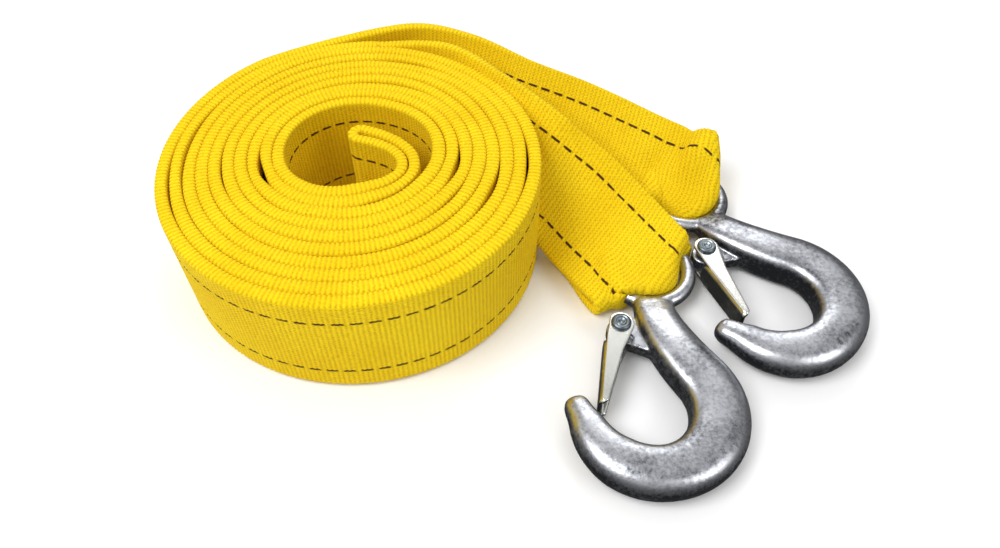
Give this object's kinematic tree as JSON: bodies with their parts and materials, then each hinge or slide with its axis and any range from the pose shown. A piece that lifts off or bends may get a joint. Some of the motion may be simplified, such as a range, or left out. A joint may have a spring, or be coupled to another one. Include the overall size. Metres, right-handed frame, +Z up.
{
  "type": "tow strap with snap hooks",
  "caption": "Flat webbing tow strap wound in a double roll, each end sewn in a loop round the eye of a forged snap hook with a sprung latch.",
  "frame": {"origin": "on the floor, under the middle of the whole object as it lies", "axes": "+Z up out of the floor, along the roll's axis; +X from the roll towards the hooks; -Y towards the front hook's bowl"},
  "size_m": [0.2812, 0.2022, 0.0539],
  "materials": {
    "webbing": "woven yellow polyester webbing with two dashed black marker threads",
    "forged_zinc": "drop-forged steel, bright zinc plated, fine grain",
    "rivet_zinc": "zinc plated steel rivet",
    "latch_zinc": "zinc plated stamped steel sheet",
    "spring_wire": "bare spring steel wire"
  },
  "bodies": {
    "strap": {"strap": "webbing"},
    "front_hook": {"hook_front": "forged_zinc", "rivet_front": "rivet_zinc", "latch_spring_front": "spring_wire"},
    "front_latch": {"latch_front": "latch_zinc"},
    "back_hook": {"hook_back": "forged_zinc", "rivet_back": "rivet_zinc", "latch_spring_back": "spring_wire"},
    "back_latch": {"latch_back": "latch_zinc"}
  },
  "joints": [
    {"name": "front_hook_swing", "type": "hinge", "parent": "strap", "child": "front_hook", "pos_m": [0.04551, 0.01046, 0.008], "axis": [-0.8, -0.6, 0], "range_deg": [0, 45]},
    {"name": "front_latch_pivot", "type": "hinge", "parent": "front_hook", "child": "front_latch", "pos_m": [0.04011, -0.03204, 0.008], "axis": [0, 0, 1], "range_deg": [0, 35], "stiffness_Nm_per_rad": 0.05, "springref_deg": -20.05},
    {"name": "back_hook_swing", "type": "hinge", "parent": "strap", "child": "back_hook", "pos_m": [0.06301, 0.04926, 0.008], "axis": [-0.6, -0.8, 0], "range_deg": [0, 45]},
    {"name": "back_latch_pivot", "type": "hinge", "parent": "back_hook", "child": "back_latch", "pos_m": [0.07929, 0.00657, 0.008], "axis": [0, 0, 1], "range_deg": [0, 35], "stiffness_Nm_per_rad": 0.05, "springref_deg": -20.05}
  ]
}
